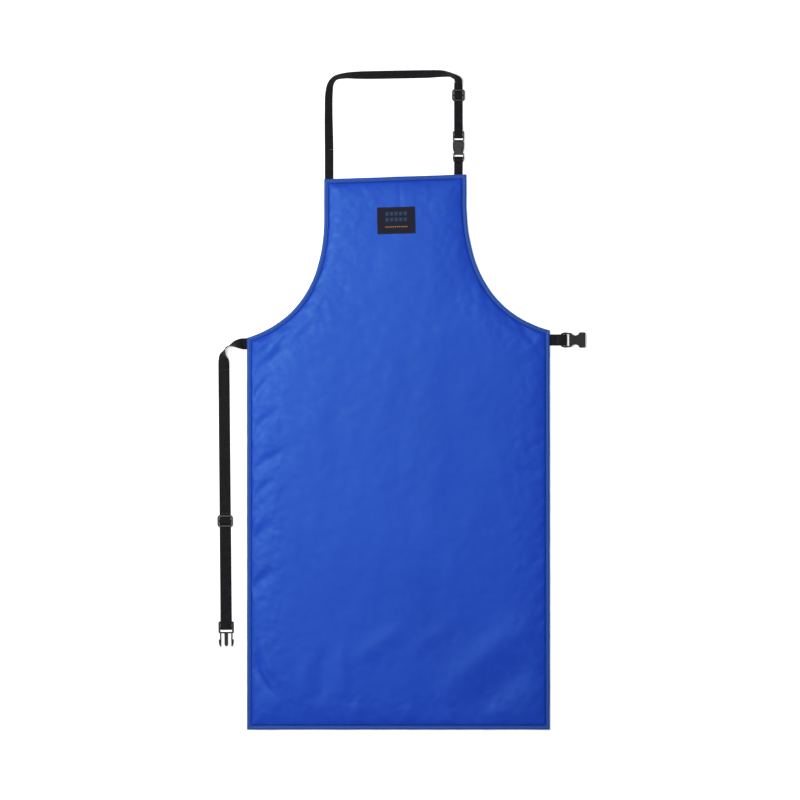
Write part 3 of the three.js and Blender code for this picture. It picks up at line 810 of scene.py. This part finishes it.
# Across the folded strip: distance in from the outline and height, round its outside and back inside.
inner = binding_width
binding_section = np.array([
    (inner - 0.1, 0.05), (inner - 2, 0.0), (5.0, 0.0), (3.0, 0.0), (1.4, 0.25), (0.45, 1.1), (0.05, 2.65),
    (0.45, 4.2), (1.4, 5.05), (3.0, 5.45), (inner - 4.2, 5.5), (inner - 3.1, 5.3), (inner - 2.1, 4.75),
    (inner - 1.6, 4.7), (inner - 0.8, 4.95), (inner - 0.3, 4.9), (inner, 4.55), (inner - 0.3, 4.25),
    (inner - 2, 4.1), (5.0, 4.35), (3.2, 4.25), (1.9, 3.8), (1.35, 2.65), (1.9, 1.4), (3.2, 1.0),
    (5.0, 0.95), (inner - 2, 0.95), (inner - 0.1, 0.9),
])
binding_top = 4.05  # what lies higher is the strip's top layer


def binding_ring(corner, mitre, seed):
    """The section at one place on the outline, with its slight waviness."""
    x, y = corner
    at_edge = 0.35 * wander(x, y, seed, 38)
    lift = 0.22 * wander(x, y, seed + 4, 16)
    at_seam = 0.45 * wander(x, y, seed + 9, 12)
    ring = []
    for inset, height in binding_section:
        share = inset / binding_width
        place = corner + mitre * (inset + at_edge * (1 - share) + at_seam * share)
        ring.append((*place, height + (lift * share if height > binding_top else 0)))
    return ring


def make_binding(name, edge, seed):
    start = edge_starts[name]
    last = len(edge) - 1
    rings = []
    for i, corner in enumerate(edge):
        mitre = mitres[(start + i) % len(outline)]
        if i in (0, last):
            towards = edge[1] - edge[0] if i == 0 else edge[last - 1] - edge[last]
            corner = corner + towards / np.linalg.norm(towards) * gap / 2
        rings.append(binding_ring(corner, mitre, seed))
    faces = ring_faces(len(rings), len(binding_section))
    strip = add_mesh(name + "_strip", np.vstack(rings), [face[::-1] for face in faces], binding_cloth, 60)
    # Painted shade along the binding's seam edge.
    paint_seam_shade(strip)
    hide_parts(name)
    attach(strip, "apron")


# ---- Stitches ----


def stitch_template():
    """One stitch along +X, one unit long, wide and high: a pinched, pointed thread."""
    sides = 6
    stations = [(-0.36, 0.36), (-0.18, 0.5), (0.18, 0.5), (0.36, 0.36)]
    points = [(-0.5, 0, -0.35)]
    for x, radius in stations:
        for k in range(sides):
            angle = 2 * math.pi * k / sides
            points.append((x, radius * math.cos(angle), radius * math.sin(angle)))
    points.append((0.5, 0, -0.35))
    faces = [(0, 1 + (k + 1) % sides, 1 + k) for k in range(sides)]
    faces += quads_between(len(stations), sides, first=1)
    tip = len(points) - 1
    last = tip - sides
    faces += [(tip, last + k, last + (k + 1) % sides) for k in range(sides)]
    return np.array(points), faces


template_points, template_faces = stitch_template()


class Stitching:
    """Rows of stitches gathered into one mesh."""

    def __init__(self, length=2.7, width=0.6, height=0.4, spacing=3.4):
        self.size = np.array([length, width, height])
        self.spacing = spacing
        self.points = []
        self.faces = []

    def add_row(self, line, up=(0, 0, 1)):
        run = spread(line, self.spacing)
        for here, after in zip(run[:-1], run[1:]):
            along = (after - here) / np.linalg.norm(after - here)
            side = np.cross(up, along)
            side /= np.linalg.norm(side)
            axes = np.stack([along, side, np.cross(along, side)])
            first = len(self.points) * len(template_points)
            self.points.append((template_points * self.size) @ axes + (here + after) / 2)
            self.faces += [tuple(first + i for i in face) for face in template_faces]

    def add_box_cross(self, centre, along, length, width, up):
        """A sewn-down strap end: a rectangle of stitches with both diagonals."""
        along = np.array([*along, 0])
        side = np.array([-along[1], along[0], 0])
        corners = [
            np.array(centre) + along * sx * length / 2 + side * sy * width / 2
            for sx, sy in ((-1, -1), (1, -1), (1, 1), (-1, 1))
        ]
        for i, j in ((0, 1), (1, 2), (2, 3), (3, 0), (0, 2), (1, 3)):
            self.add_row([corners[i], corners[j]], up)

    def finish(self, name, material, body):
        made = add_mesh(name, np.vstack(self.points), self.faces, material)
        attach(made, body)


def make_binding_stitches():
    """The two faces of the lockstitch that closes the binding, along its inner edge."""
    rows = Stitching()
    inset = binding_width - 1.8
    faces = ((4.85, (0, 0, 1)), (0.02, (0, 0, -1)))  # each one's height and the way it looks
    for name, edge in edges.items():
        here = (edge_starts[name] + np.arange(len(edge))) % len(outline)
        line = edge + mitres[here] * inset
        for level, up in faces:
            rows.add_row(np.column_stack([line, np.full(len(line), level)]), up)
    rows.finish("binding_stitches", blue_thread, "apron")


# ---- Webbing ----


def between(t, start, end, first, last):
    return (end - t) / (end - start) * first + (t - start) / (end - start) * last


def smooth_route(stations, spacing=3.0):
    """A centripetal Catmull-Rom curve through points of any dimension, evenly spaced."""
    points = np.asarray(stations, dtype=float)
    ends = [2 * points[0] - points[1], *points, 2 * points[-1] - points[-2]]
    curve = [points[0]]
    for p0, p1, p2, p3 in zip(ends, ends[1:], ends[2:], ends[3:]):
        knots = [0.0]
        for a, b in ((p0, p1), (p1, p2), (p2, p3)):
            knots.append(knots[-1] + max(np.linalg.norm(b - a), 1e-6) ** 0.5)
        t0, t1, t2, t3 = knots
        for t in np.linspace(t1, t2, 13)[1:]:
            a1 = between(t, t0, t1, p0, p1)
            a2 = between(t, t1, t2, p1, p2)
            a3 = between(t, t2, t3, p2, p3)
            b1 = between(t, t0, t2, a1, a2)
            b2 = between(t, t1, t3, a2, a3)
            curve.append(between(t, t1, t2, b1, b2))
    return spread(curve, spacing)


def round_corners(path, rounds=3):
    """A polyline with its corners cut, its ends kept."""
    path = np.asarray(path, dtype=float)
    for _ in range(rounds):
        cut = [path[0]]
        for a, b in zip(path[:-1], path[1:]):
            cut += [a * 0.75 + b * 0.25, a * 0.25 + b * 0.75]
        path = np.array([*cut, path[-1]])
    return path


def webbing_section(width):
    """Round the webbing: [across, through], with full selvedges and soft edges."""
    across = np.linspace(-1, 1, 15)
    flat_part = 1 - np.abs(across) ** 12 * 0.72
    selvedge = 1 + 0.09 * np.exp(-((np.abs(across) - 0.86) / 0.07) ** 2)
    profile = webbing_thickness / 2 * flat_part * selvedge
    top = np.column_stack([across * width / 2, profile])
    bottom = np.column_stack([across * width / 2, -profile])
    return np.vstack([bottom, top[::-1]])


def make_webbing(name, middle, across, width, nodes):
    """Webbing whose middle line and width direction are given point by point."""
    forward = unit_rows(np.gradient(middle, axis=0))
    through = unit_rows(np.cross(forward, across))
    across = np.cross(through, forward)
    section = webbing_section(width)
    aside = section[None, :, 0, None] * across[:, None, :]
    above = section[None, :, 1, None] * through[:, None, :]
    rings = middle[:, None, :] + aside + above
    faces = ring_faces(len(middle), len(section))
    strap = add_mesh(name, rings.reshape(-1, 3), faces, black_webbing, 60)
    gone = distances_along(middle)
    set_attribute(strap, "along", np.repeat(gone * mm, len(section)))
    set_attribute(strap, "across", np.tile(section[:, 0] * mm, len(middle)))
    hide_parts(*nodes)
    return strap


def make_laid_webbing(name, stations, width, nodes):
    """Webbing on the surface through [x, y, roll] stations; at a roll of 90 it stands on edge."""
    route = smooth_route(stations)
    forward = unit_rows(np.gradient(route[:, :2], axis=0))
    roll = np.radians(route[:, 2])
    level = np.column_stack([-forward[:, 1], forward[:, 0], np.zeros(len(route))])
    across = level * np.cos(roll)[:, None]
    across[:, 2] = np.sin(roll)
    rise = width / 2 * np.abs(np.sin(roll)) + webbing_thickness / 2 * np.abs(np.cos(roll))
    middle = np.column_stack([route[:, :2], surface + rise])
    return make_webbing(name, middle, across, width, nodes)


class StrapLine:
    """A straight stretch of strap: distances along it and heights above the surface, placed."""

    def __init__(self, x, y, turn):
        angle = math.radians(turn)
        self.origin = np.array([x, y, surface])
        self.along = np.array([math.cos(angle), math.sin(angle), 0])
        self.side = np.array([-math.sin(angle), math.cos(angle), 0])

    def place(self, distance, height=0.0, beside=0.0):
        return self.origin + distance * self.along + beside * self.side + np.array([0, 0, height])

    def metres(self, distance):
        return tuple(self.place(distance) * mm)

    def make_run(self, name, path, width, nodes):
        line = spread([self.place(*point) for point in round_corners(path)], 1.2)
        return make_webbing(name, line, np.tile(self.side, (len(line), 1)), width, nodes)


one_layer = webbing_thickness / 2
two_layers = one_layer + webbing_thickness + gap

# The glide's sizes along the strap, and the heights that the webbing passes it at.
glide_half = 26.5 / 2
glide_bar = 4
glide_slot_end = glide_half - glide_bar
glide_run = glide_half + 4
glide_loop_top = 2 * webbing_thickness + 2 * gap + 1.6 + gap + webbing_thickness / 2
glide_strap_top = glide_loop_top + webbing_thickness + gap
glide_under = 2 * webbing_thickness + gap - webbing_thickness / 2

# The buckle's: webbing beside a bar, and bars and slots times the buckle's scale.
wrap_drop = 1.1 + gap + webbing_thickness / 2
wrap_lead = 6
Buckle = namedtuple("Buckle", "scale webbing width height")
neck_buckle = Buckle(0.84, neck_webbing_width, 25.4, 8.6)
waist_buckle = Buckle(1.0, waist_webbing_width, 34, 10)
plug_wrap_end = 17
socket_wrap_end = 12


def make_webbing_over_glide(prefix, line, width):
    """The strap's pass up one slot of the glide, over its bar and down the other."""
    strap = line.make_run(f"{prefix}_strap_over_glide", [
        (-glide_run, one_layer),
        (-glide_slot_end + 1, one_layer),
        (-glide_slot_end + 3, glide_strap_top - 1),
        (-glide_slot_end + 4.6, glide_strap_top),
        (glide_slot_end - 4.6, glide_strap_top),
        (glide_slot_end - 3, glide_strap_top - 1),
        (glide_slot_end - 1.2, two_layers),
        (glide_run, two_layers),
    ], width, [f"{prefix}_webbing_over_glide"])
    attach(strap, f"{prefix}_glide")


def make_end_loop(prefix, line, width):
    """The strap's end, back from the buckle and sewn round the glide's middle bar."""
    turn = glide_bar / 2 + gap + webbing_thickness / 2
    strap = line.make_run(f"{prefix}_strap_end_loop", [
        (glide_run, one_layer),
        (glide_bar / 2 + 4, one_layer),
        (glide_bar / 2 + 1, glide_under),
        (-turn + 0.7, glide_under),
        (-turn, glide_under + 0.7),
        (-turn, glide_loop_top - 0.7),
        (-turn + 0.7, glide_loop_top),
        (glide_bar / 2, glide_loop_top),
    ], width, [f"{prefix}_webbing_end_loop"])
    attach(strap, f"{prefix}_glide")


def make_layers(prefix, line, width, length, plug_z):
    """The two layers from the glide to the plug."""
    start = glide_run + 0.1
    end = glide_half + length - wrap_lead - 0.1
    slope = end - 12
    paths = {
        "front": [(start, two_layers), (slope, two_layers), (end, plug_z + wrap_drop)],
        "back": [(start, one_layer), (slope, one_layer), (end, plug_z - wrap_drop)],
    }
    for side, path in paths.items():
        nodes = [f"{prefix}_webbing_{side}_layer"]
        strap = line.make_run(f"{prefix}_strap_{side}_layer", path, width, nodes)
        line.metres(start + 8)
        line.metres(end - 14)
        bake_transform(strap)


def wrap_path(bar_end, start, end):
    """Heights and distances round a buckle's bar, from above it to below it."""
    turn = bar_end + gap + webbing_thickness / 2
    return [
        (start, wrap_drop),
        (turn - 0.7, wrap_drop),
        (turn, wrap_drop - 0.7),
        (turn, 0.7 - wrap_drop),
        (turn - 0.7, -wrap_drop),
        (end, -wrap_drop),
    ]


def make_webbing_round_plug(prefix, line, buckle, start, plug_z):
    path = wrap_path(plug_wrap_end * buckle.scale, -wrap_lead, -wrap_lead)
    placed = [(start + distance, plug_z + height) for distance, height in path]
    nodes = [f"{prefix}_webbing_round_plug"]
    strap = line.make_run(f"{prefix}_strap_round_plug", placed, buckle.webbing, nodes)
    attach(strap, f"{prefix}_plug")


def make_tab(prefix, line, buckle, length, body, nodes):
    """The doubled tab, sewn behind the body's edge, through the socket's bar and back."""
    middle = buckle.height / 2
    wrapped = wrap_path(socket_wrap_end * buckle.scale, 0, 0)
    strap = line.make_run(f"{prefix}_tab", [
        (-48, one_layer),
        (fold_reach + 1.7, one_layer),
        (fold_reach + 6.7, two_layers + 0.2),
        (length - 4, two_layers + 1),
        *[(distance + length, height + middle) for distance, height in wrapped],
        (length - 6, one_layer + gap),
        (fold_reach + 10, one_layer),
    ], buckle.webbing, nodes)
    line.metres(0.5)
    line.metres(fold_reach + 7)
    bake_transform(strap)
    tack = Stitching(length=2.2, spacing=1.6)
    half = buckle.webbing / 2 - 2.5
    height = two_layers + 1 + webbing_thickness / 2 + 0.1
    for distance in (length - 7.5, length - 5.5):
        tack.add_row([line.place(distance, height, -half), line.place(distance, height, half)])
    tack.finish(f"{prefix}_tab_tack", black_thread, body)


# ---- The straps ----

neck_left_x = middle_of("neck_strap_anchor").x
neck_right_x = middle_of("neck_tab_anchor").x
neck_left_edge = bib_height + edge_tilt * neck_left_x
neck_right_edge = bib_height + edge_tilt * neck_right_x
neck_tab_length = 28
neck_layers_length = 66
neck_glide_y = middle_of("neck_glide").y
neck_leg_end = neck_glide_y + glide_run + 0.1
neck_leg_length = 10
neck_leg_top = (Vector(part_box("neck_webbing_leg")[0]) / mm).y + neck_leg_length + gap

waist_strap_level = -8.4  # how far below the waist line the strap leaves the left side
waist_layers_length = 208
waist_tab_length = 24
waist_bend = (-378, -15)
waist_strap_turn = 0.5
waist_strap_offset = -7.4
waist_glide_drop = 384


def make_neck_strap():
    x = neck_left_x
    right = neck_right_x
    split = 420
    base = make_laid_webbing("neck_strap_base", [
        (x, neck_left_edge - 49, 0),
        (x, neck_left_edge + 20, 0.5),
        (x, split, 5),
    ], neck_webbing_width, ["neck_strap_anchor"])
    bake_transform(base)
    loop = make_laid_webbing("neck_strap_loop", [
        (x, split + 0.1, 5),
        (x - 1, 500, 25),
        (x, 545, 32),
        (x + 5, 567, 52),
        (x + 15, 577.5, 62),
        (x + 35, 582, 55),
        (x + 63, 583.3, 38),
        (x + 90, 583.8, 30),
        (right - 70, 586, 31),
        (right - 36, 586.5, 47),
        (right - 17, 583.5, 66),
        (right - 6, 578.5, 58),
        (right, neck_leg_top + 4, 30),
        (right, neck_leg_top, 22),
    ], neck_webbing_width, ["neck_webbing"])
    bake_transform(loop)
    leg = make_laid_webbing("neck_strap_leg", [
        (right, neck_leg_top - 0.1, 22),
        (right, neck_leg_end + 4, 7),
        (right, neck_leg_end, 0),
    ], neck_webbing_width, ["neck_webbing_leg"])
    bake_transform(leg)
    line = StrapLine(right, neck_glide_y, -90)
    plug_z = neck_buckle.height / 2
    make_webbing_over_glide("neck", line, neck_webbing_width)
    make_end_loop("neck", line, neck_webbing_width)
    make_layers("neck", line, neck_webbing_width, neck_layers_length, plug_z)
    make_webbing_round_plug("neck", line, neck_buckle, glide_half + neck_layers_length, plug_z)
    tab_line = StrapLine(right, neck_right_edge, 90)
    nodes = ["neck_tab_webbing", "neck_tab_anchor"]
    make_tab("neck", tab_line, neck_buckle, neck_tab_length, "neck_loop", nodes)


def hanging_place(across, along):
    """A point on the hanging strap, from the bend, in the strap's own turned directions."""
    angle = math.radians(waist_strap_turn)
    x = waist_bend[0] + across * math.cos(angle) - along * math.sin(angle)
    y = waist_bend[1] + across * math.sin(angle) + along * math.cos(angle)
    return x, y


def make_waist_strap():
    edge_x = -body_width / 2
    level = waist_strap_level
    bend_x, bend_y = waist_bend
    width = waist_webbing_width
    base = make_laid_webbing("waist_strap_base", [
        (edge_x + 49, level, 0),
        (edge_x - 6, level, 6),
        (edge_x - 16, level - 0.5, 30),
        (bend_x + 14, bend_y + 4.5, 65),
        (bend_x + 4, bend_y + 2, 88),
    ], width, ["waist_strap_anchor", "waist_webbing_root"])
    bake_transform(base)
    stations = [(4 - gap, 2 - gap, 88), (-2, -2, 90), (-6, -12, 70)]
    stations += [(waist_strap_offset, -30, 20), (waist_strap_offset, -44, 3), (waist_strap_offset, -50, 0)]
    placed = [(*hanging_place(x, y), roll) for x, y, roll in stations]
    bend = make_laid_webbing("waist_strap_bend", placed, width, ["waist_webbing_bend"])
    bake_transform(bend)
    line = StrapLine(*hanging_place(waist_strap_offset, -waist_glide_drop), waist_strap_turn - 90)
    top = 50.1 - waist_glide_drop
    path = [(top, one_layer), (-glide_run - 0.1, one_layer)]
    run = line.make_run("waist_strap_run", path, width, ["waist_webbing"])
    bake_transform(run)
    plug_z = wrap_drop + webbing_thickness / 2
    make_webbing_over_glide("waist", line, width)
    make_end_loop("waist", line, width)
    make_layers("waist", line, width, waist_layers_length, plug_z)
    make_webbing_round_plug("waist", line, waist_buckle, glide_half + waist_layers_length, plug_z)
    tab_line = StrapLine(body_width / 2, 0, 0)
    nodes = ["waist_tab_webbing", "waist_tab_anchor"]
    make_tab("waist", tab_line, waist_buckle, waist_tab_length, "waist_tab", nodes)


def make_anchor_stitches():
    """Box-and-cross stitching where each strap end is sewn down behind the body."""
    rows = Stitching(length=2.4, spacing=3.0)
    depth = 25
    under = surface - 0.05
    for x, y, along, width in (
        (neck_left_x, neck_left_edge - depth, (0, 1), neck_webbing_width),
        (neck_right_x, neck_right_edge - depth, (0, 1), neck_webbing_width),
        (-body_width / 2 + depth, waist_strap_level, (1, 0), waist_webbing_width),
        (body_width / 2 - depth, 0, (1, 0), waist_webbing_width),
    ):
        rows.add_box_cross((x, y, under), along, 38, width - 6, (0, 0, -1))
    rows.finish("anchor_stitches", black_thread, "apron")


# ---- The label ----


def make_label(body):
    """A woven patch laid on the front, with a plain pattern of bars and its own edge stitches."""
    centre = middle_of("label_patch")
    turn = math.radians(1.5)
    width = 84
    height = 59
    front = BVHTree.FromObject(body, bpy.context.evaluated_depsgraph_get())

    def place(x, y, lift):
        """A point of the label, draped on the front."""
        px = centre.x + x * math.cos(turn) - y * math.sin(turn)
        py = centre.y + x * math.sin(turn) + y * math.cos(turn)
        hit = front.ray_cast(Vector((px * mm, py * mm, 0.1)), Vector((0, 0, -1)))[0]
        return (px, py, hit.z / mm + lift)

    def patch(name, x0, x1, y0, y1, lift, thickness, material, step=2.5):
        """A thin draped rectangle with its edges turned down."""
        xs = np.linspace(x0, x1, max(3, int((x1 - x0) / step) + 1))
        ys = np.linspace(y0, y1, max(3, int((y1 - y0) / step) + 1))
        columns = len(xs)
        top = [place(x, y, lift + thickness) for y in ys for x in xs]
        bottom = [place(x, y, lift) for y in ys for x in xs]
        count = len(top)
        faces = []
        for row in range(len(ys) - 1):
            for column in range(columns - 1):
                a = row * columns + column
                b = a + columns
                faces.append((a, a + 1, b + 1, b))
                faces.append((count + a, count + b, count + b + 1, count + a + 1))
        rim = list(range(columns)) + [columns * (r + 1) - 1 for r in range(1, len(ys))]
        rim += list(range(count - 2, count - columns - 1, -1))
        rim += [columns * r for r in range(len(ys) - 2, 0, -1)]
        for a, b in zip(rim, rim[1:] + rim[:1]):
            faces.append((b, a, count + a, count + b))
        made = add_mesh(name, top + bottom, faces, material, 60)
        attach(made, "apron")
        return made

    label = patch("woven_label", -width / 2, width / 2, -height / 2, height / 2, 0.15, 0.7, label_ground)
    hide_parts("label_patch")
    for row, (level, bars, length, pitch, half, material) in enumerate((
        (15.0, 5, 7.0, 10.0, 4.0, label_blue),
        (2.0, 5, 7.0, 10.0, 4.0, label_blue),
        (-14.0, 12, 2.6, 4.2, 1.1, label_orange),
    )):
        for bar in range(bars):
            x = (bar - bars / 2) * pitch + (pitch - length) / 2
            name = f"label_bar_{row}_{bar}"
            patch(name, x, x + length, level - half, level + half, 0.85, 0.2, material, 1.5)
    rows = Stitching(length=2.0, width=0.45, height=0.35, spacing=2.5)
    x = width / 2 - 2
    y = height / 2 - 2
    corners = [(-x, -y), (x, -y), (x, y), (-x, y), (-x, -y)]
    steps = 12
    for (ax, ay), (bx, by) in zip(corners, corners[1:]):
        rows.add_row([
            place(ax + (bx - ax) * k / steps, ay + (by - ay) * k / steps, 0.95) for k in range(steps + 1)
        ])
    rows.finish("label_stitches", black_thread, "apron")


# ---- Moulded pieces ----


def finish_moulded_node(name):
    """Rounds the edges of a moulded CAD piece and gives it its plastic."""
    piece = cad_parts[name]
    weld = piece.modifiers.new("weld", "WELD")
    weld.merge_threshold = 1e-5
    bevel = piece.modifiers.new("soft_edges", "BEVEL")
    bevel.width = 0.35 * mm
    bevel.segments = 2
    bevel.limit_method = "ANGLE"
    bevel.angle_limit = math.radians(35)
    piece.data.materials.clear()
    piece.data.materials.append(black_plastic)


# ---- Putting the apron together ----

set_up_camera()
set_up_light()
padded_body = make_body()
for number, (edge_name, edge_points) in enumerate(edges.items()):
    make_binding(edge_name, edge_points, seed=20 + 3 * number)
make_binding_stitches()
make_neck_strap()
make_waist_strap()
make_anchor_stitches()
make_label(padded_body)
for prefix in ("neck", "waist"):
    for part in ("glide", "plug", "prong_left", "prong_right", "socket"):
        finish_moulded_node(f"{prefix}_{part}")

floor_corners = [(x * 9000, y * 9000, 0) for x, y in ((-1, -1), (1, -1), (1, 1), (-1, 1))]
floor = add_mesh("floor", floor_corners, [(0, 1, 2, 3)], make_floor_material())
floor.location.z = (surface - 0.4) * mm
